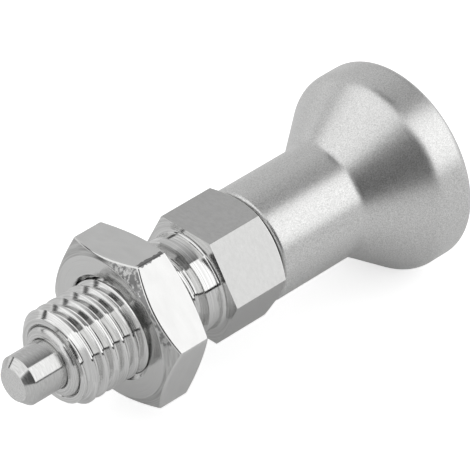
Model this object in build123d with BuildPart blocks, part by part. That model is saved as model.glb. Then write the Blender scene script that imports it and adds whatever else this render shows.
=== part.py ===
"""Indexing plunger with a mushroom grip and a locknut, turned from stainless steel.

Units are millimetres. The plunger's axis is the X axis: the locating pin points to -X
and the grip is at +X. X = 0 is the shoulder, the face of the hexagonal collar that seats
against the machine. +Z is up, and angles about the axis are counted from +Y towards +Z.
"""

import os
from math import acos, ceil, cos, degrees, radians, sin, tan

from build123d import *

# Threaded sleeve, from its front end to the shoulder
thread_major_d = 11.9
thread_pitch = 1.5
thread_depth = 0.87
thread_crest_flat = 0.2
thread_flank_angle = 30.0
thread_start_direction = 240.0
thread_runs_per_turn = 16
thread_reach = 20.2
thread_end_chamfer = 0.8
land_length = 2.4
relief_groove_floor = 0.2
shoulder_fillet = 0.4

# Hexagonal collar of the sleeve
collar_across_flats = 13.8
collar_length = 8.2
collar_chamfer_angle = 30.0
collar_chamfer_inset = 0.35
collar_flat_direction = 25.4

# Rear neck of the sleeve, which the grip slides over
sleeve_neck_length = 10.0
sleeve_neck_chamfer = 0.5

# Bores of the sleeve
bush_seat_d = 8.7
bush_seat_depth = 5.0
bush_seat_lead = 0.15
spring_bore_d = 8.0
spring_chamber_length = 14.2

# Guide bush, pressed into the front of the sleeve
bush_protrusion = 0.65
bush_rim_height = 0.6
bush_crown_drop = 0.1
bush_bore_chamfer = 0.1

# Locating pin
pin_d = 6.0
pin_protrusion = 5.15
pin_tip_chamfer = 0.9
pin_tip_chamfer_length = 1.0
pin_collar_length = 2.0
pin_collar_chamfer = 0.3
shank_d = 4.0
shank_seat_length = 6.5
shank_end_chamfer = 0.4

# Compression spring
wire_d = 0.7
active_coils = 6.3
closed_coils_each_end = 1.0
closed_coil_gap = 0.08
ground_depth = 0.25
wire_sides = 6
runs_per_coil = 12

# Pull grip
grip_neck_d = 14.0
grip_neck_wall = 1.34
grip_neck_length = 12.4
grip_head_d = 24.9
grip_length = 24.7
grip_flare_angle = 37.3
grip_bore_depth = 12.0
grip_front_round = 0.45
grip_root_round = 2.0
grip_shoulder_round = 3.0
grip_rear_round = 1.7
shank_hole_spare = 0.5

# Locknut
nut_across_flats = 18.6
nut_thickness = 5.7
nut_front_position = 11.9
nut_chamfer_inset = 0.55
nut_front_chamfer_angle = 30.0
nut_rear_chamfer_angle = 18.0
nut_countersink = 0.6
nut_flat_direction = 19.6

# Clearances on the radius, and the gap between the collar and the grip at rest
pin_clearance = 0.03
pin_collar_clearance = 0.08
shank_clearance = 0.04
spring_clearance = 0.45
grip_clearance = 0.06
nut_clearance = 0.05
grip_gap = 0.3

# Most degrees of a round that one straight step stands for
round_step = 30.0

# Both hexagons, and the angle between the middle of a flat and its next corner
hexagon_sides = 6
flat_to_corner = 180 / hexagon_sides

# Radii
thread_r = thread_major_d / 2
thread_root_r = thread_r - thread_depth
bush_seat_r = bush_seat_d / 2
spring_bore_r = spring_bore_d / 2
pin_r = pin_d / 2
bush_bore_r = pin_r + pin_clearance
pin_collar_r = spring_bore_r - pin_collar_clearance
shank_r = shank_d / 2
shank_hole_r = shank_r + shank_clearance
wire_r = wire_d / 2
spring_r = spring_bore_r - spring_clearance - wire_r
grip_neck_r = grip_neck_d / 2
grip_head_r = grip_head_d / 2
grip_bore_r = grip_neck_r - grip_neck_wall
sleeve_neck_r = grip_bore_r - grip_clearance
nut_bore_r = thread_r + nut_clearance

# Stations along the axis
sleeve_front_x = -thread_reach
bush_front_x = sleeve_front_x - bush_protrusion
bush_rear_x = sleeve_front_x + bush_seat_depth
pin_tip_x = bush_front_x - pin_protrusion
spring_front_x = bush_rear_x + pin_collar_length
spring_rear_x = spring_front_x + spring_chamber_length
sleeve_rear_x = collar_length + sleeve_neck_length
grip_front_x = collar_length + grip_gap
grip_rear_x = grip_front_x + grip_length
grip_bore_floor_x = grip_front_x + grip_bore_depth
shank_rear_x = grip_bore_floor_x + shank_seat_length
nut_front_x = -nut_front_position
nut_rear_x = nut_front_x + nut_thickness

os.makedirs("parts", exist_ok=True)


def turned_section(*points):
    """Closed section through (x, radius) points, to be revolved about the X axis."""
    with BuildSketch() as section:
        with BuildLine():
            Polyline(*points, close=True)
        make_face()
    return section.sketch


def rounded(before, corner, after, radius):
    """Points along a round at a section's corner, no wider than half the walls beside it."""
    corner = Vector(*corner)
    back = Vector(*before) - corner
    on = Vector(*after) - corner
    wall = min(back.length, on.length) / 2
    back, on = back.normalized(), on.normalized()
    half = acos(back.dot(on)) / 2
    radius = min(radius, wall * tan(half))
    centre = corner + (back + on).normalized() * (radius / sin(half))
    spoke = corner + back * (radius / tan(half)) - centre
    turn = (180 - degrees(2 * half)) * (1 if back.cross(on).Z < 0 else -1)
    steps = ceil(abs(turn) / round_step)
    spokes = [spoke.rotate(Axis.Z, turn * step / steps) for step in range(steps + 1)]
    return [((centre + arm).X, (centre + arm).Y) for arm in spokes]


# ------------------------------------------------------------------ threaded sleeve
# One turned piece: thread, relief groove, land, hexagonal collar and rear neck. The
# thread is a ridge that winds round its core in straight runs, to keep the facets few.
groove_flank_length = thread_depth * tan(radians(thread_flank_angle))
groove_rear_x = -land_length
groove_front_x = groove_rear_x - 2 * groove_flank_length - relief_groove_floor
thread_end_x = groove_front_x + groove_flank_length
thread_turns = ceil((thread_end_x - sleeve_front_x) / thread_pitch) + 2
ridge_footing = 0.1 * thread_depth
ridge_foot_r = thread_root_r - ridge_footing
ridge_foot_half = thread_crest_flat / 2 + (thread_r - ridge_foot_r) * tan(
    radians(thread_flank_angle)
)


def ridge_corners(run):
    """Section of the thread's ridge, that many runs back from one pitch before the front."""
    turn = run / thread_runs_per_turn
    x = sleeve_front_x + thread_pitch * (turn - 1)
    corners = [
        (x - thread_crest_flat / 2, thread_r),
        (x + thread_crest_flat / 2, thread_r),
        (x + ridge_foot_half, ridge_foot_r),
        (x - ridge_foot_half, ridge_foot_r),
    ]
    return [
        Vector(*corner).rotate(Axis.X, thread_start_direction + 360 * turn) for corner in corners
    ]


def flat_face(*corners):
    """Face between corners that lie in one plane."""
    return Face(Wire.make_polygon(corners))


collar_corner_r = collar_across_flats / 2 / cos(radians(flat_to_corner))
collar_chamfer_r = collar_across_flats / 2 - collar_chamfer_inset
collar_chamfer_height = (collar_corner_r - collar_chamfer_r) * tan(radians(collar_chamfer_angle))

sections = [ridge_corners(run) for run in range(thread_turns * thread_runs_per_turn + 1)]
ridge_faces = [flat_face(*sections[0]), flat_face(*reversed(sections[-1]))]
for here, there in zip(sections, sections[1:]):
    ridge_faces += [
        flat_face(here[0], there[0], there[1], here[1]),
        flat_face(here[1], there[1], there[2]),
        flat_face(here[1], there[2], here[2]),
        flat_face(here[2], there[2], there[3], here[3]),
        flat_face(here[3], there[3], there[0]),
        flat_face(here[3], there[0], here[0]),
    ]
thread_ridge = Solid(Shell(ridge_faces))

with BuildPart() as threaded_sleeve:
    # Thread: a core with the ridge round it, pointed at the front and run out at the rear.
    with BuildSketch(Plane.YZ.offset(sleeve_front_x)):
        RegularPolygon(
            thread_root_r, side_count=thread_runs_per_turn, rotation=thread_start_direction
        )
    extrude(amount=thread_end_x - sleeve_front_x)
    add(thread_ridge)
    thread_envelope = turned_section(
        (sleeve_front_x, 0),
        (sleeve_front_x, thread_r - thread_end_chamfer),
        (sleeve_front_x + thread_end_chamfer + thread_depth, thread_r + thread_depth),
        (groove_front_x - groove_flank_length, thread_r + thread_depth),
        (thread_end_x, thread_root_r),
        (thread_end_x, 0),
    )
    revolve(thread_envelope, axis=Axis.X, mode=Mode.INTERSECT)
    # Hexagonal collar, with the corners of its rear face turned down to a cone.
    with BuildSketch(Plane.YZ):
        RegularPolygon(
            collar_across_flats / 2,
            side_count=hexagon_sides,
            major_radius=False,
            rotation=collar_flat_direction + flat_to_corner,
        )
    hexagon = extrude(amount=collar_length, mode=Mode.PRIVATE)
    turned_collar = turned_section(
        (0, 0),
        (0, collar_corner_r),
        (collar_length - collar_chamfer_height, collar_corner_r),
        (collar_length, collar_chamfer_r),
        (collar_length, 0),
    )
    add(hexagon & revolve(turned_collar, axis=Axis.X, mode=Mode.PRIVATE))
    # Relief groove and land, with a small round in the corner of the shoulder.
    land = turned_section(
        (0, 0),
        *reversed(
            rounded((groove_rear_x, thread_r), (0, thread_r), (0, collar_corner_r), shoulder_fillet)
        ),
        (groove_rear_x, thread_r),
        (groove_rear_x - groove_flank_length, thread_root_r),
        (thread_end_x, thread_root_r),
        (thread_end_x, 0),
    )
    revolve(land, axis=Axis.X)
    # Rear neck.
    rear_neck = turned_section(
        (0, 0),
        (0, sleeve_neck_r),
        (sleeve_rear_x - sleeve_neck_chamfer, sleeve_neck_r),
        (sleeve_rear_x, sleeve_neck_r - sleeve_neck_chamfer),
        (sleeve_rear_x, 0),
    )
    revolve(rear_neck, axis=Axis.X)
    # Bush seat, spring chamber and the hole for the pin's shank.
    stepped_bore = turned_section(
        (sleeve_front_x, 0),
        (sleeve_front_x, bush_seat_r + bush_seat_lead),
        (sleeve_front_x + bush_seat_lead, bush_seat_r),
        (bush_rear_x, bush_seat_r),
        (bush_rear_x, spring_bore_r),
        (spring_rear_x, spring_bore_r),
        (spring_rear_x, shank_hole_r),
        (sleeve_rear_x, shank_hole_r),
        (sleeve_rear_x, 0),
    )
    revolve(stepped_bore, axis=Axis.X, mode=Mode.SUBTRACT)
threaded_sleeve.part.label = "threaded_sleeve"
export_step(threaded_sleeve.part, "parts/threaded_sleeve.step")


# ------------------------------------------------------------------ guide bush
# Pressed into the sleeve's mouth up to the step of the bore. Its crowned front stands a
# little proud of the sleeve, and its rear face is the stop for the pin's collar.
with BuildPart() as guide_bush:
    bush_wall = turned_section(
        (bush_rear_x, bush_bore_r),
        (bush_rear_x, bush_seat_r),
        (bush_front_x + bush_crown_drop + bush_rim_height, bush_seat_r),
        (bush_front_x + bush_crown_drop, bush_seat_r - bush_rim_height),
        (bush_front_x, bush_bore_r + bush_bore_chamfer),
        (bush_front_x + bush_bore_chamfer, bush_bore_r),
    )
    revolve(bush_wall, axis=Axis.X)
guide_bush.part.label = "guide_bush"
export_step(guide_bush.part, "parts/guide_bush.step")


# ------------------------------------------------------------------ locating pin
# Hardened nose, a collar that the spring holds against the bush, and a thinner shank
# that runs back through the sleeve into the grip.
with BuildPart() as locating_pin:
    stepped_pin = turned_section(
        (pin_tip_x, 0),
        (pin_tip_x, pin_r - pin_tip_chamfer),
        (pin_tip_x + pin_tip_chamfer_length, pin_r),
        (bush_rear_x, pin_r),
        (bush_rear_x, pin_collar_r - pin_collar_chamfer),
        (bush_rear_x + pin_collar_chamfer, pin_collar_r),
        (spring_front_x, pin_collar_r),
        (spring_front_x, shank_r),
        (shank_rear_x - shank_end_chamfer, shank_r),
        (shank_rear_x, shank_r - shank_end_chamfer),
        (shank_rear_x, 0),
    )
    revolve(stepped_pin, axis=Axis.X)
locating_pin.part.label = "locating_pin"
export_step(locating_pin.part, "parts/locating_pin.step")


# ------------------------------------------------------------------ compression spring
# Between the pin's collar and the end of the spring chamber. One coil at each end is
# closed and ground flat. The wire is faceted, and runs straight from point to point.
closed_pitch = wire_d + closed_coil_gap
wire_start_x = spring_front_x + wire_r - ground_depth
wire_end_x = spring_rear_x - wire_r + ground_depth
closed_length = closed_coils_each_end * closed_pitch
active_pitch = (wire_end_x - wire_start_x - 2 * closed_length) / active_coils
coil_count = active_coils + 2 * closed_coils_each_end
run_count = round(coil_count * runs_per_coil)


def wire_centre(turns):
    """Point on the wire's centre line, that many turns back from the front end."""
    active_turns = min(max(turns - closed_coils_each_end, 0), active_coils)
    x = wire_start_x + (turns - active_turns) * closed_pitch + active_turns * active_pitch
    return Vector(x, spring_r, 0).rotate(Axis.X, 360 * turns)


with BuildPart() as compression_spring:
    with BuildLine() as wire_path:
        Polyline(*[wire_centre(coil_count * run / run_count) for run in range(run_count + 1)])
    with BuildSketch(Plane(origin=wire_path.line @ 0, z_dir=wire_path.line % 0)):
        RegularPolygon(wire_r, side_count=wire_sides)
    sweep(path=wire_path.line, transition=Transition.RIGHT)
    ground_length = turned_section(
        (spring_front_x, 0),
        (spring_front_x, spring_bore_r),
        (spring_rear_x, spring_bore_r),
        (spring_rear_x, 0),
    )
    revolve(ground_length, axis=Axis.X, mode=Mode.INTERSECT)
compression_spring.part.label = "compression_spring"
export_step(compression_spring.part, "parts/compression_spring.step")


# ------------------------------------------------------------------ pull grip
# Turned mushroom grip. Its hollow neck slides over the sleeve's rear neck, and the pin's
# shank is pressed into the blind hole at the bottom of the bore.
flare_root_x = grip_front_x + grip_neck_length
flare_length = (grip_head_r - grip_neck_r) / tan(radians(grip_flare_angle))

front_corner = (grip_front_x, grip_neck_r)
root_corner = (flare_root_x, grip_neck_r)
shoulder_corner = (flare_root_x + flare_length, grip_head_r)
rear_corner = (grip_rear_x, grip_head_r)

with BuildPart() as pull_grip:
    grip_section = turned_section(
        (grip_front_x, grip_bore_r),
        *rounded((grip_front_x, grip_bore_r), front_corner, root_corner, grip_front_round),
        *rounded(front_corner, root_corner, shoulder_corner, grip_root_round),
        *rounded(root_corner, shoulder_corner, rear_corner, grip_shoulder_round),
        *rounded(shoulder_corner, rear_corner, (grip_rear_x, 0), grip_rear_round),
        (grip_rear_x, 0),
        (shank_rear_x + shank_hole_spare, 0),
        (shank_rear_x + shank_hole_spare, shank_r),
        (grip_bore_floor_x, shank_r),
        (grip_bore_floor_x, grip_bore_r),
    )
    revolve(grip_section, axis=Axis.X)
pull_grip.part.label = "pull_grip"
export_step(pull_grip.part, "parts/pull_grip.step")


# ------------------------------------------------------------------ locknut
# Thin hexagon nut with turned corners. Its thread is a plain hole that just clears the
# sleeve's crests, countersunk at both ends.
nut_corner_r = nut_across_flats / 2 / cos(radians(flat_to_corner))
nut_chamfer_r = nut_across_flats / 2 - nut_chamfer_inset
nut_front_chamfer_height = (nut_corner_r - nut_chamfer_r) * tan(radians(nut_front_chamfer_angle))
nut_rear_chamfer_height = (nut_corner_r - nut_chamfer_r) * tan(radians(nut_rear_chamfer_angle))

with BuildPart() as locknut:
    with BuildSketch(Plane.YZ.offset(nut_front_x)):
        RegularPolygon(
            nut_across_flats / 2,
            side_count=hexagon_sides,
            major_radius=False,
            rotation=nut_flat_direction + flat_to_corner,
        )
    extrude(amount=nut_thickness)
    turned_nut = turned_section(
        (nut_front_x, 0),
        (nut_front_x, nut_chamfer_r),
        (nut_front_x + nut_front_chamfer_height, nut_corner_r),
        (nut_rear_x - nut_rear_chamfer_height, nut_corner_r),
        (nut_rear_x, nut_chamfer_r),
        (nut_rear_x, 0),
    )
    revolve(turned_nut, axis=Axis.X, mode=Mode.INTERSECT)
    nut_bore = turned_section(
        (nut_front_x, 0),
        (nut_front_x, nut_bore_r + nut_countersink),
        (nut_front_x + nut_countersink, nut_bore_r),
        (nut_rear_x - nut_countersink, nut_bore_r),
        (nut_rear_x, nut_bore_r + nut_countersink),
        (nut_rear_x, 0),
    )
    revolve(nut_bore, axis=Axis.X, mode=Mode.SUBTRACT)
locknut.part.label = "locknut"
export_step(locknut.part, "parts/locknut.step")
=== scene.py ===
"""Indexing plunger with a mushroom grip and a locknut, all in stainless steel.

The plunger lies along X with its pin at -X and its grip at +X. Sizes are in millimetres,
and turn into metres where Blender takes them. Angles are given in degrees, and those
about the axis count from +Y towards +Z.
"""

from math import pi

import bmesh
import bpy
import numpy as np
from mathutils import Matrix, Vector


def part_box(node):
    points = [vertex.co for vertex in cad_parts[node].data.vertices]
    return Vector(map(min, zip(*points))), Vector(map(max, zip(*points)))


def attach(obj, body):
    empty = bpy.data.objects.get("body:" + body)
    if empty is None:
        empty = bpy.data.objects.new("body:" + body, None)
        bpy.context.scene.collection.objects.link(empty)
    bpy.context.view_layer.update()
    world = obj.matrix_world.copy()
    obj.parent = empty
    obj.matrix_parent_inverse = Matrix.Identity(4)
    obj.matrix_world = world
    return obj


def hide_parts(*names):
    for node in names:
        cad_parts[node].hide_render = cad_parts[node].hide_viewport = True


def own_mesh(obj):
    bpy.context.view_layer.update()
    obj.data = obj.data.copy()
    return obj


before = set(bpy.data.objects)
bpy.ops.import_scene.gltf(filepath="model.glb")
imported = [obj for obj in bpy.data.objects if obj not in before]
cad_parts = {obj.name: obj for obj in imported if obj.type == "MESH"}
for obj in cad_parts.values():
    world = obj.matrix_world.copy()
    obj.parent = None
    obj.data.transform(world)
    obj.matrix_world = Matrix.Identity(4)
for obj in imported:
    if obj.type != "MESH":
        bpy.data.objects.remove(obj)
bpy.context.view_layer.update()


# ---------------------------------------------------------------- table, light and camera
# A pale table that the grip's rim rests on, under an even light. Polished metal sees the
# room round it: a wide softbox in front, a smaller one at the left, a dark panel overhead,
# a dark camera side and walls behind them.


def millimetres(points):
    """Points or sizes in millimetres, turned into metres."""
    return np.asarray(points, float) * 0.001


def feed(tree, socket, value):
    """Set a node's socket to a value, or link it to another node's output."""
    if isinstance(value, bpy.types.NodeSocket):
        tree.links.new(value, socket)
    else:
        socket.default_value = value


def calculate(tree, operation, *values):
    """Math node on numbers or other nodes' outputs."""
    node = tree.nodes.new("ShaderNodeMath")
    node.operation = operation
    for socket, value in zip(node.inputs, values):
        feed(tree, socket, value)
    return node.outputs[0]


def along(tree, vector, direction):
    """How far a vector reaches along a direction."""
    node = tree.nodes.new("ShaderNodeVectorMath")
    node.operation = "DOT_PRODUCT"
    feed(tree, node.inputs[0], vector)
    feed(tree, node.inputs[1], direction)
    return node.outputs["Value"]


def ramp(tree, value, start, end, low=0.0, high=1.0, kind="SMOOTHSTEP"):
    """Map Range node: low up to start, high from end on, and a ramp between them."""
    node = tree.nodes.new("ShaderNodeMapRange")
    node.interpolation_type = kind
    for label, number in (
        ("Value", value), ("From Min", start), ("From Max", end), ("To Min", low), ("To Max", high)
    ):
        feed(tree, node.inputs[label], number)
    return node.outputs[0]


def blend(tree, mask, below, above, kind="FLOAT"):
    """Mix of two numbers by a mask, or of two colours where kind is RGBA."""
    node = tree.nodes.new("ShaderNodeMix")
    node.data_type = kind
    for label, value in (("Factor", mask), ("A", below), ("B", above)):
        feed(tree, node.inputs[label], value)
    return node.outputs["Result"]


table_height = -12.45
table_radius = 4000
table_sides = 64
table_grey = 0.77
table_glow = 0.59

table = bpy.data.objects.new("table", bpy.data.meshes.new("table"))
bpy.context.scene.collection.objects.link(table)
turns = np.linspace(0, 2 * pi, table_sides + 1)[:-1]
table_edge = [(table_radius * np.cos(a), table_radius * np.sin(a), table_height) for a in turns]
table.data.from_pydata(millimetres(table_edge), [], [list(range(table_sides))])

table_paint = bpy.data.materials.new("table_paint")
table_paint.use_nodes = True
tree = table_paint.node_tree
tree.nodes.clear()
matt = tree.nodes.new("ShaderNodeBsdfDiffuse")
feed(tree, matt.inputs["Color"], (table_grey, table_grey, table_grey, 1))
glow = tree.nodes.new("ShaderNodeEmission")
ray = tree.nodes.new("ShaderNodeLightPath")
seen_glow = calculate(tree, "MULTIPLY", ray.outputs["Is Camera Ray"], table_glow)
feed(tree, glow.inputs["Strength"], seen_glow)
both = tree.nodes.new("ShaderNodeAddShader")
feed(tree, both.inputs[0], matt.outputs[0])
feed(tree, both.inputs[1], glow.outputs[0])
table_out = tree.nodes.new("ShaderNodeOutputMaterial")
feed(tree, table_out.inputs["Surface"], both.outputs[0])
table.data.materials.append(table_paint)

room = bpy.data.worlds.new("room")
bpy.context.scene.world = room
room.use_nodes = True
tree = room.node_tree
compass = tree.nodes.new("ShaderNodeTexCoord").outputs["Generated"]
forwards = along(tree, compass, (1, 0, 0))
sideways = along(tree, compass, (0, 1, 0))
upwards = along(tree, compass, (0, 0, 1))

# The wall at the right pales away from the front softbox. The left softbox has a dark
# surround on a pale wall.
front_box_level, left_box_level = 1.5, 1.25
past_front_edge = calculate(tree, "ADD", along(tree, compass, (0, -0.8896, -0.4568)), 0.2135)
right_wall = ramp(tree, past_front_edge, -0.62, 0.0, 0.72, 0.21, "LINEAR")
near_left_box = along(tree, compass, (-0.63, 0.34, 0.70))
left_wall = ramp(tree, near_left_box, 0.64, 0.7, 1.0, 0.1)
seen = blend(tree, ramp(tree, forwards, -0.25, 0.2), left_wall, right_wall)
seen = blend(tree, ramp(tree, near_left_box, 0.755, 0.78), seen, left_box_level)

# The overhead panel is a rectangle, and the camera side a round patch.
panel_level, camera_side_level = 0.03, 0.1
panel = ramp(tree, upwards, 0.5, 0.6)
for reach, first_edge, last_edge in (
    (forwards, (-0.12, 0.0), (0.22, 0.3)), (sideways, (-0.05, 0.05), (0.42, 0.52))
):
    panel = calculate(tree, "MULTIPLY", panel, ramp(tree, reach, *first_edge))
    panel = calculate(tree, "MULTIPLY", panel, ramp(tree, reach, *last_edge, 1.0, 0.0))
seen = blend(tree, panel, seen, panel_level)
seen = blend(tree, ramp(tree, past_front_edge, -0.01, 0.01), seen, front_box_level)
near_camera = along(tree, compass, (-0.529, -0.701, 0.478))
seen = blend(tree, ramp(tree, near_camera, 0.79, 0.86), seen, camera_side_level)

# The front softbox ends above the table in a narrow dark gap.
gap_level = 0.03
above_gap = calculate(tree, "SUBTRACT", 0.282, along(tree, compass, (0, -0.482, -0.876)))
seen = blend(tree, ramp(tree, above_gap, -0.004, 0.004), gap_level, seen)
seen = blend(tree, ramp(tree, above_gap, -0.085, -0.075), table_grey, seen)

even_light = 1.0
ray = tree.nodes.new("ShaderNodeLightPath")
light = blend(tree, ray.outputs["Is Glossy Ray"], even_light, seen)
light = blend(tree, ray.outputs["Is Camera Ray"], light, even_light)
background = tree.nodes["Background"]
feed(tree, background.inputs["Strength"], light)
feed(tree, background.inputs["Color"], (1, 1, 1, 1))

camera_place = (-255.3, -280.0, 316.2)
lens_right = Vector((0.72974, -0.6837, 0.0))
lens_up = Vector((0.4327, 0.4618, 0.7743))
lens_back = Vector((-0.52937, -0.56502, 0.63286))
camera = bpy.data.objects.new("camera", bpy.data.cameras.new("camera"))
bpy.context.scene.collection.objects.link(camera)
camera.data.sensor_width = 36.0
camera.data.lens = 338.2
camera_turn = Matrix((lens_right, lens_up, lens_back)).transposed().to_4x4()
camera.matrix_world = Matrix.Translation(Vector(millimetres(camera_place))) @ camera_turn
bpy.context.scene.camera = camera
bpy.context.scene.view_settings.view_transform = "Standard"


# ---------------------------------------------------------------- threaded sleeve
# The body of the plunger, turned from one stainless bar: M12 x 1.5 thread, relief groove,
# plain land, hexagonal collar with milled flats, and the neck that the grip slides over.


def ends(node):
    """First and last place of a node of the frame along the axis."""
    return [round(corner[0] * 1000, 3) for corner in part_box(node)]


def ring(x, radius, angles):
    """Points about the axis, at a place and a radius that may change with the angle."""
    x = np.broadcast_to(x, angles.shape)
    radius = np.broadcast_to(radius, angles.shape)
    turn = np.radians(angles)
    return np.stack([x, radius * np.cos(turn), radius * np.sin(turn)], axis=1)


# Points nearer than this are joined into one.
weld_within = 0.0002


def made_piece(name, points, faces, slots, smooth_below=32):
    """Object of points and faces, smooth where faces meet at less than that many degrees.

    slots gives the material slot of each face.
    """
    dist = weld_within * 0.001
    mesh = bpy.data.meshes.new(name)
    mesh.from_pydata(millimetres(points), [], faces)
    mesh.polygons.foreach_set("material_index", slots)
    work = bmesh.new()
    work.from_mesh(mesh)
    bmesh.ops.remove_doubles(work, verts=work.verts, dist=dist)
    bmesh.ops.dissolve_degenerate(work, edges=work.edges, dist=dist)
    bmesh.ops.recalc_face_normals(work, faces=work.faces)
    work.to_mesh(mesh)
    work.free()
    mesh.shade_smooth()
    mesh.set_sharp_from_angle(angle=np.radians(smooth_below))
    piece = bpy.data.objects.new(name, mesh)
    bpy.context.scene.collection.objects.link(piece)
    return piece


def skin(name, rings, finishes=None, helix=(0, 0, 0)):
    """Closed piece through rings of equally many points, the last joined to the first.

    finishes gives the material slot of each band of faces between a ring and the next.
    helix gives the first and the last ring of a thread, and how many rings make one turn.
    """
    count = len(rings[0])
    first, last, rings_a_turn = helix

    def a_turn_on(i):
        return min(i + rings_a_turn, last) if first <= i < last else i

    faces, slots = [], []
    for i in range(len(rings)):
        n = (i + 1) % len(rings)
        for j in range(count):
            k = (j + 1) % count
            near, far = (i, n) if k else (a_turn_on(i), a_turn_on(n))
            corners = (i * count + j, n * count + j, far * count + k, near * count + k)
            face = tuple(dict.fromkeys(corners))
            if len(face) > 2:
                faces.append(face)
                slots.append(finishes[i] if finishes else 0)
    return made_piece(name, np.concatenate(rings), faces, slots)


def eased(corners, steps=4):
    """Closed (x, radius) outline whose corners (x, radius, ease) are rounded by arcs."""
    outline = []
    for i, (x, radius, ease) in enumerate(corners):
        here = np.array((x, radius))
        before = np.array(corners[i - 1][:2]) - here
        after = np.array(corners[(i + 1) % len(corners)][:2]) - here
        if not ease:
            outline.append(here)
            continue
        before /= np.linalg.norm(before)
        after /= np.linalg.norm(after)
        half = np.arccos(np.clip(before @ after, -1, 1)) / 2
        centre = here + (before + after) / np.linalg.norm(before + after) * ease / np.sin(half)
        start = here + before * ease / np.tan(half) - centre
        sweep = pi - 2 * half
        side = np.sign(before[0] * after[1] - before[1] * after[0])
        for step in range(steps + 1):
            t = side * sweep * step / steps
            turn = np.array(((np.cos(t), np.sin(t)), (-np.sin(t), np.cos(t))))
            outline.append(centre + turn @ start)
    return outline


hexagon_corner = 60


def hexagon_angles(flat_angle, width, ease, steps=34):
    """Angles for a ring about a hexagon, close together at its eased corners."""
    half = hexagon_corner / 2
    bend = half - np.degrees(np.arctan((width / 2 - ease) * np.tan(np.radians(half)) / (width / 2)))
    near = np.array((0, 0.3, 0.6, 0.85, 1, 1.6)) * bend
    side = np.linspace(-half + 2.5 * bend, half - 2.5 * bend, steps)
    one = np.concatenate((-half + near, side, (half - near)[:0:-1]))
    return np.concatenate([flat_angle + hexagon_corner * k + one for k in range(6)])


def across_flats(angles, width, flat_angle, ease):
    """Distance from the axis to a hexagon's sides and its eased corners, at each angle."""
    half = np.radians(hexagon_corner / 2)
    from_flat = (angles - flat_angle + hexagon_corner / 2) % hexagon_corner - hexagon_corner / 2
    from_flat = np.abs(np.radians(from_flat))
    side = width / 2 / np.cos(from_flat)
    centre = (width / 2 - ease) / np.cos(half)
    off = np.minimum(np.abs(centre * np.sin(half - from_flat)), ease)
    corner = centre * np.cos(half - from_flat) + np.sqrt(ease**2 - off**2)
    return np.where(from_flat > np.arctan(centre * np.sin(half) / (width / 2)), corner, side)


def turned_edge(x, radius, ease, slope, facing, angles):
    """Rings that ease the edge where a turned cone meets the flats, front ones first.

    slope is the cone's angle from the end face, and facing is -1 for the front end.
    """
    span = np.radians(90 - slope)
    lean = np.radians(slope)
    reach = ease * np.tan(span / 2)
    hold = 0.25 * ease

    def on_arc(turn, past=0.0):
        back = reach - ease * np.sin(turn) - past * np.sin(lean)
        drop = ease * (1 - np.cos(turn)) + past * np.cos(lean)
        return ring(x - facing * back, radius - drop, angles)

    rings = [on_arc(span, hold)] + [on_arc(span * share) for share in (1.0, 0.66, 0.33, 0.0)]
    rings.append(ring(x - facing * (reach + hold), radius, angles))
    return rings if facing < 0 else rings[::-1]


sleeve_front, sleeve_rear = ends("threaded_sleeve")
bush_front, bush_rear = ends("guide_bush")
spring_front, spring_rear = ends("compression_spring")

thread_radius, thread_root = 5.95, 5.08
pitch = 1.5
thread_turns, turns_ahead = 14, 2
thread_start_radius = 5.15
crest_x, crest_angle = -19.12, 139.18
groove_start, groove_end, groove_slope = -3.6, -2.4, 0.5

# The thread's form over one pitch: place along the axis from a crest's centre, and radius.
flank_slope = np.radians(60)
crest_half, crest_ease = 0.119, 0.06
root_edge = crest_half + (thread_radius - thread_root) / np.tan(flank_slope)
root_ease = (pitch / 2 - root_edge) / np.tan(flank_slope / 2)
half_form = eased([
    (0, thread_radius, 0), (crest_half, thread_radius, crest_ease),
    (root_edge, thread_root, root_ease), (pitch / 2, thread_root, 0),
])[:-1]
thread_form = [(-s, r) for s, r in half_form[:0:-1]] + half_form[:-1]
form_x = np.array([s for s, _ in half_form])
form_radius = np.array([r for _, r in half_form])


def thread_surface(x, angles):
    """Radius of the threaded stem at a place along the axis."""
    crest = crest_x + pitch * (angles - crest_angle) / 360
    away = np.abs((x - crest + pitch / 2) % pitch - pitch / 2)
    radius = np.interp(away, form_x, form_radius)
    chamfer = thread_start_radius + (x - sleeve_front)
    groove = np.interp(
        x, [groove_start, groove_start + groove_slope, groove_end - groove_slope, groove_end],
        [thread_radius, thread_root, thread_root, thread_radius],
    )
    past = x > groove_start + groove_slope
    return np.where(past, groove, np.minimum(np.minimum(radius, chamfer), groove))


collar_flats, collar_flat_angle = 13.8, 25.4
collar_ease, collar_edge_ease = 0.12, 0.08
collar_rear = 8.2
collar_chamfer_radius, collar_chamfer = 6.55, 30
bush_seat_radius, bush_seat_lead = 4.35, 0.15
mouth_land = 0.3
shoulder_fillet = 0.4
neck_radius, neck_chamfer = 5.6, 0.5
chamber_radius = 4.0
shank_hole_radius = 2.04

angles = hexagon_angles(collar_flat_angle, collar_flats, collar_ease)
mouth_radius = bush_seat_radius + bush_seat_lead
rings = [ring(sleeve_front, radius, angles) for radius in (mouth_radius, mouth_radius + mouth_land)]
first_thread_ring = len(rings)
helix_lead = pitch * (angles - angles[0]) / 360
first_crest = crest_x + pitch * (angles[0] - crest_angle) / 360
# Rings that would lie past either end of the thread are pressed flat onto it.
for turn in range(-turns_ahead, thread_turns - turns_ahead):
    for away, _ in thread_form:
        x = first_crest + turn * pitch + away + helix_lead
        x = np.clip(x, sleeve_front, groove_start + groove_slope)
        rings.append(ring(x, thread_surface(x, angles), angles))
last_thread_ring = len(rings) - 1

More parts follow.
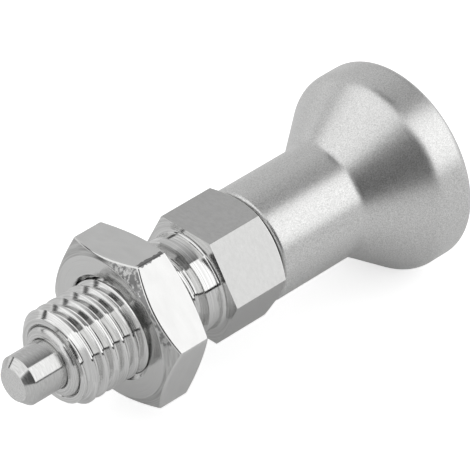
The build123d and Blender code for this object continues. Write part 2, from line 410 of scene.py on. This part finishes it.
# The groove's rear slope and its eased edge, the land, and the fillet at the shoulder.
shoulder = [
    (groove_end - groove_slope - 0.02, thread_root), (groove_end - groove_slope, thread_root),
    (groove_end - groove_slope / 2, (thread_root + thread_radius) / 2),
    (groove_end - 0.04, thread_radius - 0.07), (groove_end, thread_radius - 0.012),
    (groove_end + 0.04, thread_radius), (-shoulder_fillet - 0.02, thread_radius),
]
for t in np.radians(np.arange(0, 91, 15)):
    fillet_radius = thread_radius + shoulder_fillet * (1 - np.cos(t))
    shoulder.append((-shoulder_fillet * (1 - np.sin(t)), fillet_radius))
shoulder.append((0, collar_flats / 2 - 0.05))
rings += [ring(x, radius, angles) for x, radius in shoulder]

collar = across_flats(angles, collar_flats, collar_flat_angle, collar_ease)
chamfer_depth = (collar - collar_chamfer_radius) * np.tan(np.radians(collar_chamfer))
flats_band = len(rings)
rings.append(ring(0, collar, angles))
rings += turned_edge(
    collar_rear - chamfer_depth, collar, collar_edge_ease, collar_chamfer, 1, angles
)
behind_collar = [
    (collar_rear, collar_chamfer_radius), (collar_rear, neck_radius),
    (sleeve_rear - neck_chamfer, neck_radius), (sleeve_rear, neck_radius - neck_chamfer),
    (sleeve_rear, shank_hole_radius), (spring_rear, shank_hole_radius),
    (spring_rear, chamber_radius), (bush_rear, chamber_radius), (bush_rear, bush_seat_radius),
    (sleeve_front + bush_seat_lead, bush_seat_radius),
]
rings += [ring(x, radius, angles) for x, radius in behind_collar]
turned, milled = 0, 1
finishes = [turned] * len(rings)
finishes[flats_band] = milled
helix = (first_thread_ring, last_thread_ring, len(thread_form))
sleeve = skin("sleeve_body", rings, finishes, helix=helix)
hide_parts("threaded_sleeve")
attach(sleeve, "sleeve")


def new_group(name, values, outputs):
    """Shader node group, and where its inputs are given and its outputs are wanted."""
    group = bpy.data.node_groups.new(name, "ShaderNodeTree")
    for label, value in values.items():
        socket = group.interface.new_socket(label, in_out="INPUT", socket_type="NodeSocketFloat")
        socket.default_value = value
    for label in outputs:
        group.interface.new_socket(label, in_out="OUTPUT", socket_type="NodeSocketFloat")
    given = group.nodes.new("NodeGroupInput").outputs
    wanted = group.nodes.new("NodeGroupOutput").inputs
    return group, given, wanted


def place_on_piece(tree):
    """Place on the piece, in metres."""
    return tree.nodes.new("ShaderNodeTexCoord").outputs["Object"]


def split(tree, place):
    """Parts of a place along X, Y and Z."""
    node = tree.nodes.new("ShaderNodeSeparateXYZ")
    feed(tree, node.inputs[0], place)
    return node.outputs


def angle_about_axis(tree, place):
    """Angle of a place about the axis, in radians."""
    _, y, z = split(tree, place)
    return calculate(tree, "ARCTAN2", z, y)


def per_metre(tree, length):
    """How many lengths, given in millimetres, fill a metre."""
    return calculate(tree, "DIVIDE", 1000.0, length)


def noise(tree, vector, scale, detail=2.0, roughness=0.5):
    """Noise texture's value."""
    node = tree.nodes.new("ShaderNodeTexNoise")
    for label, value in (
        ("Vector", vector), ("Scale", scale), ("Detail", detail), ("Roughness", roughness)
    ):
        feed(tree, node.inputs[label], value)
    return node.outputs["Fac"]


# Rings and arcs that a lathe tool leaves: noise along and out from the axis, long drawn
# around it.
tool_marks, given, wanted = new_group(
    "tool_marks", {"Spacing": 0.1, "Arc": 0.6}, ["Height", "Shade"]
)
place = place_on_piece(tool_marks)
x, y, z = split(tool_marks, place)
y_squared = calculate(tool_marks, "MULTIPLY", y, y)
z_squared = calculate(tool_marks, "MULTIPLY", z, z)
out_from_axis = calculate(tool_marks, "SQRT", calculate(tool_marks, "ADD", y_squared, z_squared))
around = angle_about_axis(tool_marks, place)
spacing = per_metre(tool_marks, given["Spacing"])
combine = tool_marks.nodes.new("ShaderNodeCombineXYZ")
for label, distance, scale in (
    ("X", x, spacing), ("Y", out_from_axis, spacing), ("Z", around, given["Arc"])
):
    feed(tool_marks, combine.inputs[label], calculate(tool_marks, "MULTIPLY", distance, scale))
lines = noise(tool_marks, combine.outputs[0], 1.0, detail=3.0)
feed(tool_marks, wanted["Height"], lines)
feed(tool_marks, wanted["Shade"], ramp(tool_marks, lines, 0.3, 0.7, kind="LINEAR"))

# Painted edge highlight: a brighter colour on the outer corners.
painted_edge_highlight, given, wanted = new_group("painted_edge_highlight", {"Width": 0.1, "Gain": 6.0}, ["Mask"])
rounded = painted_edge_highlight.nodes.new("ShaderNodeBevel")
rounded.samples = 4
edge_highlight_width = calculate(painted_edge_highlight, "MULTIPLY", given["Width"], 0.001)
feed(painted_edge_highlight, rounded.inputs["Radius"], edge_highlight_width)
facing = painted_edge_highlight.nodes.new("ShaderNodeNewGeometry").outputs["Normal"]
differs = calculate(painted_edge_highlight, "SUBTRACT", 1.0, along(painted_edge_highlight, rounded.outputs[0], facing))
gained = calculate(painted_edge_highlight, "MULTIPLY", differs, given["Gain"])
feed(painted_edge_highlight, wanted["Mask"], calculate(painted_edge_highlight, "MINIMUM", gained, 1.0))


def add_group(tree, group, values):
    """Group node with some inputs set; gives its outputs."""
    node = tree.nodes.new("ShaderNodeGroup")
    node.node_tree = group
    for label, value in values.items():
        feed(tree, node.inputs[label], value)
    return node.outputs


def steel_colour(level, warmth=0.005):
    """Grey a little short of blue."""
    return (level, level, level - warmth, 1)


# Colour of the painted edge highlight on the corners, and how strongly it is mixed in.
edge_highlight_colour = steel_colour(0.8, 0.01)
edge_highlight_strength = 0.5


def steel(name, tone, roughness, pattern, values, depth, brushed=0.0):
    """Stainless steel whose tone and roughness each run between two values with a pattern.

    pattern is a node group, values are its inputs, and depth is how deep it is felt.
    brushed is how much further a highlight runs across the tool's rings than along them.
    """
    material = bpy.data.materials.new(name)
    material.use_nodes = True
    tree = material.node_tree
    metal = tree.nodes["Principled BSDF"].inputs
    metal["Metallic"].default_value = 1.0
    marks = add_group(tree, pattern, values)
    dark, bright = tone
    tint = blend(tree, marks["Shade"], steel_colour(dark), steel_colour(bright), "RGBA")
    # Every steel gets the painted edge highlight, a brighter colour on its corners.
    edge_highlight = calculate(tree, "MULTIPLY", add_group(tree, painted_edge_highlight, {})["Mask"], edge_highlight_strength)
    feed(tree, metal["Base Color"], blend(tree, edge_highlight, tint, edge_highlight_colour, "RGBA"))
    feed(tree, metal["Roughness"], ramp(tree, marks["Shade"], 0, 1, *roughness, "LINEAR"))
    metal["Anisotropic"].default_value = brushed
    metal["Anisotropic Rotation"].default_value = 0.25
    if brushed:
        rings_run = tree.nodes.new("ShaderNodeTangent")
        rings_run.direction_type = "RADIAL"
        rings_run.axis = "X"
        feed(tree, metal["Tangent"], rings_run.outputs[0])
    relief = tree.nodes.new("ShaderNodeBump")
    relief.inputs["Strength"].default_value = 1.0
    relief.inputs["Distance"].default_value = depth * 0.001
    feed(tree, relief.inputs["Height"], marks["Height"])
    feed(tree, metal["Normal"], relief.outputs[0])
    return material


turned_steel = steel(
    "turned_steel", tone=(0.52, 0.78), roughness=(0.09, 0.15),
    pattern=tool_marks, values={"Spacing": 0.12, "Arc": 0.5}, depth=0.0005, brushed=0.95,
)
milled_steel = steel(
    "milled_steel", tone=(0.46, 0.51), roughness=(0.16, 0.24),
    pattern=tool_marks, values={"Spacing": 0.4, "Arc": 9.0}, depth=0.0005,
)
sleeve.data.materials.append(turned_steel)
sleeve.data.materials.append(milled_steel)


# ---------------------------------------------------------------- guide bush
# Turned steel ring pressed into the sleeve's mouth, with a crowned front that stands a
# little proud. The pin runs in it.

bush_bore = 3.03
bush_step_length = 0.36
crown_radius = 4.22
crown_end_radius = 3.24
crown_height = sleeve_front - bush_front

bush_outline = [
    (bush_rear, bush_bore), (bush_rear, bush_seat_radius),
    (sleeve_front + bush_step_length, bush_seat_radius),
    (sleeve_front + bush_step_length - 0.02, bush_seat_radius - 0.01),
    (sleeve_front + bush_step_length - 0.1, crown_radius),
]
for t in np.radians(np.arange(0, 91, 9)):
    crown = crown_end_radius + (crown_radius - crown_end_radius) * np.cos(t)
    bush_outline.append((sleeve_front - crown_height * np.sin(t), crown))
# The rounded edge of the bore, as steps back from the front and out from the bore.
for back, out in ((0.005, 0.14), (0.03, 0.09), (0.08, 0.04), (0.15, 0)):
    bush_outline.append((bush_front + back, bush_bore + out))
round_steps = 192
round_angles = np.arange(round_steps) * 360 / round_steps
bush = skin("bush_ring", [ring(x, radius, round_angles) for x, radius in bush_outline])
faced_bush_steel = steel(
    "faced_bush_steel", tone=(0.52, 0.74), roughness=(0.2, 0.3),
    pattern=tool_marks, values={"Spacing": 0.1, "Arc": 0.8}, depth=0.001, brushed=0.9,
)
bush.data.materials.append(faced_bush_steel)
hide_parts("guide_bush")
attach(bush, "sleeve")


# ---------------------------------------------------------------- locating pin
# Hardened pin, ground to size and polished, with a chamfered tip. Behind the bush it has
# a collar for the spring and a thin shank pressed into the grip.

pin_front, pin_rear = ends("locating_pin")
pin_radius, pin_tip_radius, pin_tip_length, pin_tip_ease = 3.0, 2.1, 1.0, 0.06
pin_collar_radius, pin_collar_chamfer = 3.92, 0.3
shank_radius, shank_chamfer = 2.0, 0.4
hidden_ease = 0.05

pin_outline = eased([
    (pin_front, 0, 0), (pin_front, pin_tip_radius, pin_tip_ease),
    (pin_front + pin_tip_length, pin_radius, pin_tip_ease), (bush_rear, pin_radius, 0),
    (bush_rear, pin_collar_radius - pin_collar_chamfer, hidden_ease),
    (bush_rear + pin_collar_chamfer, pin_collar_radius, hidden_ease),
    (spring_front, pin_collar_radius, hidden_ease), (spring_front, shank_radius, 0),
    (pin_rear - shank_chamfer, shank_radius, hidden_ease),
    (pin_rear, shank_radius - shank_chamfer, hidden_ease), (pin_rear, 0, 0),
])
ground, tip = 0, 1
rings = [ring(x, radius, round_angles) for x, radius in pin_outline]
pin = skin("pin", rings, [tip] * 2 + [ground] * (len(rings) - 2))
ground_steel = steel(
    "ground_steel", tone=(0.47, 0.65), roughness=(0.13, 0.18),
    pattern=tool_marks, values={"Spacing": 0.06, "Arc": 3.0}, depth=0.0004, brushed=0.7,
)
tip_steel = steel(
    "tip_steel", tone=(0.6, 0.72), roughness=(0.23, 0.31),
    pattern=tool_marks, values={"Spacing": 0.12, "Arc": 4.0}, depth=0.0008,
)
pin.data.materials.append(ground_steel)
pin.data.materials.append(tip_steel)
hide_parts("locating_pin")
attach(pin, "plunger")


# ---------------------------------------------------------------- compression spring
# Hard-drawn stainless wire, coiled with both ends closed and ground. It sits inside the
# sleeve and shortens as the grip is pulled.

wire_radius, coil_radius = 0.35, 3.2
ground_off = 0.1
closed_turns, open_turns, closed_pitch = 1.0, 6.3, 0.78
wire_steps, wire_sides = 400, 16

closed_length = 2 * closed_turns * closed_pitch
open_length = spring_rear - spring_front - 2 * ground_off - closed_length
turns = np.linspace(0, 2 * closed_turns + open_turns, wire_steps)
opened = np.clip(turns - closed_turns, 0, open_turns)
wire_x = spring_front + ground_off + (turns - opened) * closed_pitch
wire_x += opened * open_length / open_turns
around_wire = np.linspace(0, 2 * pi, wire_sides + 1)[:-1]
points = []
for x, t in zip(wire_x, turns * 2 * pi):
    for a in around_wire:
        out = coil_radius + wire_radius * np.cos(a)
        ground_x = np.clip(x + wire_radius * np.sin(a), spring_front, spring_rear)
        points.append((ground_x, out * np.cos(t), out * np.sin(t)))
faces = [list(range(wire_sides)), list(range(len(points) - wire_sides, len(points)))]
for i in range(0, len(points) - wire_sides, wire_sides):
    for j in range(wire_sides):
        k = (j + 1) % wire_sides
        faces.append((i + j, i + k, i + wire_sides + k, i + wire_sides + j))
spring = made_piece("spring_wire", points, faces, [0] * len(faces), smooth_below=40)
spring.data.materials.append(ground_steel)
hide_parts("compression_spring")
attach(spring, "spring")
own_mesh(spring)


# ---------------------------------------------------------------- locknut
# Thin stainless locknut on the sleeve's thread: faced on both sides, corners turned down,
# flats left as drawn.

nut_front, nut_rear = ends("locknut")
nut_flats, nut_flat_angle = 18.6, 19.6
nut_corner_ease, nut_edge_ease = 0.35, 0.26
nut_chamfer_radius = 8.75
front_chamfer, rear_chamfer = 30, 18
nut_hole_radius = 6.0
front_countersink, rear_countersink = 0.5, 0.6

angles = hexagon_angles(nut_flat_angle, nut_flats, nut_corner_ease)
side = across_flats(angles, nut_flats, nut_flat_angle, nut_corner_ease)
front_depth = (side - nut_chamfer_radius) * np.tan(np.radians(front_chamfer))
rear_depth = (side - nut_chamfer_radius) * np.tan(np.radians(rear_chamfer))
face_radii = (
    nut_hole_radius + front_countersink, nut_chamfer_radius - 0.11, nut_chamfer_radius - 0.03
)
face_rings = [ring(nut_front, radius, angles) for radius in face_radii]
chamfer_rings = [
    ring(nut_front + 0.022, nut_chamfer_radius + 0.03, angles),
    ring(nut_front + 0.06, nut_chamfer_radius + 0.1, angles),
]
front_edge = turned_edge(nut_front + front_depth, side, nut_edge_ease, front_chamfer, -1, angles)
rear_edge = turned_edge(nut_rear - rear_depth, side, nut_edge_ease, rear_chamfer, 1, angles)
behind_edge = [
    (nut_rear, nut_chamfer_radius), (nut_rear, nut_hole_radius + rear_countersink),
    (nut_rear - rear_countersink, nut_hole_radius),
    (nut_front + front_countersink, nut_hole_radius),
]
rings = face_rings + chamfer_rings + front_edge + rear_edge
rings += [ring(x, radius, angles) for x, radius in behind_edge]
faced, drawn, chamfered = 0, 1, 2
finishes = [faced] * len(face_rings) + [chamfered] * len(chamfer_rings)
finishes += [faced] * (len(front_edge) - 1) + [drawn]
finishes += [faced] * (len(rear_edge) + len(behind_edge))
nut = skin("nut", rings, finishes)

faced_steel = steel(
    "faced_steel", tone=(0.6, 0.68), roughness=(0.09, 0.15),
    pattern=tool_marks, values={"Spacing": 0.1, "Arc": 1.5}, depth=0.0003, brushed=0.9,
)
drawn_steel = steel(
    "drawn_steel", tone=(0.6, 0.64), roughness=(0.08, 0.16),
    pattern=tool_marks, values={"Spacing": 1.2, "Arc": 3.0}, depth=0.001,
)
chamfered_steel = steel(
    "chamfered_steel", tone=(0.36, 0.58), roughness=(0.14, 0.24),
    pattern=tool_marks, values={"Spacing": 0.2, "Arc": 2.5}, depth=0.001,
)

# Dents with a painted dark reflection near one corner, darker in mottled patches. Corner is
# its angle about the axis, and Reach is how many degrees the dents spread from it.
dents_and_painted_reflection, given, wanted = new_group(
    "dents_and_painted_reflection", {"Corner": 0.0, "Reach": 2.0, "Grain": 0.3, "Cover": 0.4}, ["Mask"]
)
place = place_on_piece(dents_and_painted_reflection)
around = calculate(dents_and_painted_reflection, "DEGREES", angle_about_axis(dents_and_painted_reflection, place))
off_corner = calculate(dents_and_painted_reflection, "SUBTRACT", around, given["Corner"])
off_corner = calculate(dents_and_painted_reflection, "ABSOLUTE", off_corner)
nearness = calculate(dents_and_painted_reflection, "DIVIDE", off_corner, given["Reach"])
nearness = calculate(dents_and_painted_reflection, "SUBTRACT", 1.0, nearness)
dents = noise(dents_and_painted_reflection, place, per_metre(dents_and_painted_reflection, given["Grain"]))
cover = calculate(dents_and_painted_reflection, "MULTIPLY", nearness, given["Cover"])
mask = ramp(dents_and_painted_reflection, calculate(dents_and_painted_reflection, "ADD", cover, dents), 0.55, 0.7)
near_corner = ramp(dents_and_painted_reflection, nearness, 0.0, 0.25)
feed(dents_and_painted_reflection, wanted["Mask"], calculate(dents_and_painted_reflection, "MULTIPLY", mask, near_corner))


# Colour of the dents and of the painted dark reflection.
dent_and_reflection_colour = steel_colour(0.2, 0)


def add_dents_and_painted_reflection(material, **values):
    """Darken a steel with dents and a painted dark reflection about a corner; values are inputs of
    the group above.
    """
    tree = material.node_tree
    colour = tree.nodes["Principled BSDF"].inputs["Base Color"]
    clean = colour.links[0].from_socket
    mask = add_group(tree, dents_and_painted_reflection, values)["Mask"]
    feed(tree, colour, blend(tree, mask, clean, dent_and_reflection_colour, "RGBA"))


# Painted dark reflection, with dents, along one corner of the flats and on part of the front
# chamfer.
add_dents_and_painted_reflection(drawn_steel, Corner=108.9, Reach=2.4, Grain=0.3, Cover=0.4)
add_dents_and_painted_reflection(chamfered_steel, Corner=128.0, Reach=44.0, Grain=0.45, Cover=0.28)
nut.data.materials.append(faced_steel)
nut.data.materials.append(drawn_steel)
nut.data.materials.append(chamfered_steel)
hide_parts("locknut")
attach(nut, "locknut")


# ---------------------------------------------------------------- pull grip
# Mushroom grip, turned in stainless steel and bead-blasted to a matt finish. Its hollow
# neck slides over the sleeve's rear neck.

grip_front, grip_rear = ends("pull_grip")
grip_front -= 0.2
grip_neck_radius, grip_neck_end = 7.0, 20.9
grip_rim_radius, grip_rim_start = 12.444, 28.05
grip_bore_radius, grip_bore_end = 5.66, 20.5
shank_hole_end = 27.5

grip_outline = eased([
    (grip_front, grip_bore_radius, 0.1), (grip_front, grip_neck_radius, 0.5),
    (grip_neck_end, grip_neck_radius, 2.0), (grip_rim_start, grip_rim_radius, 3.0),
    (grip_rear, grip_rim_radius, 1.7), (grip_rear, 0, 0),
    (shank_hole_end, 0, 0), (shank_hole_end, shank_radius, 0),
    (grip_bore_end, shank_radius, 0), (grip_bore_end, grip_bore_radius, 0),
], steps=10)
grip = skin("grip", [ring(x, radius, round_angles) for x, radius in grip_outline])

# The grain that the beads leave.
bead_grain, given, wanted = new_group("bead_grain", {"Grain": 0.1}, ["Height", "Shade"])
scale = per_metre(bead_grain, given["Grain"])
dents = noise(bead_grain, place_on_piece(bead_grain), scale, detail=4.0, roughness=0.65)
feed(bead_grain, wanted["Height"], dents)
feed(bead_grain, wanted["Shade"], ramp(bead_grain, dents, 0.35, 0.65, kind="LINEAR"))

blasted_steel = steel(
    "blasted_steel", tone=(0.47, 0.76), roughness=(0.29, 0.39),
    pattern=bead_grain, values={"Grain": 0.14}, depth=0.006,
)
grip.data.materials.append(blasted_steel)
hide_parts("pull_grip")
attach(grip, "plunger")
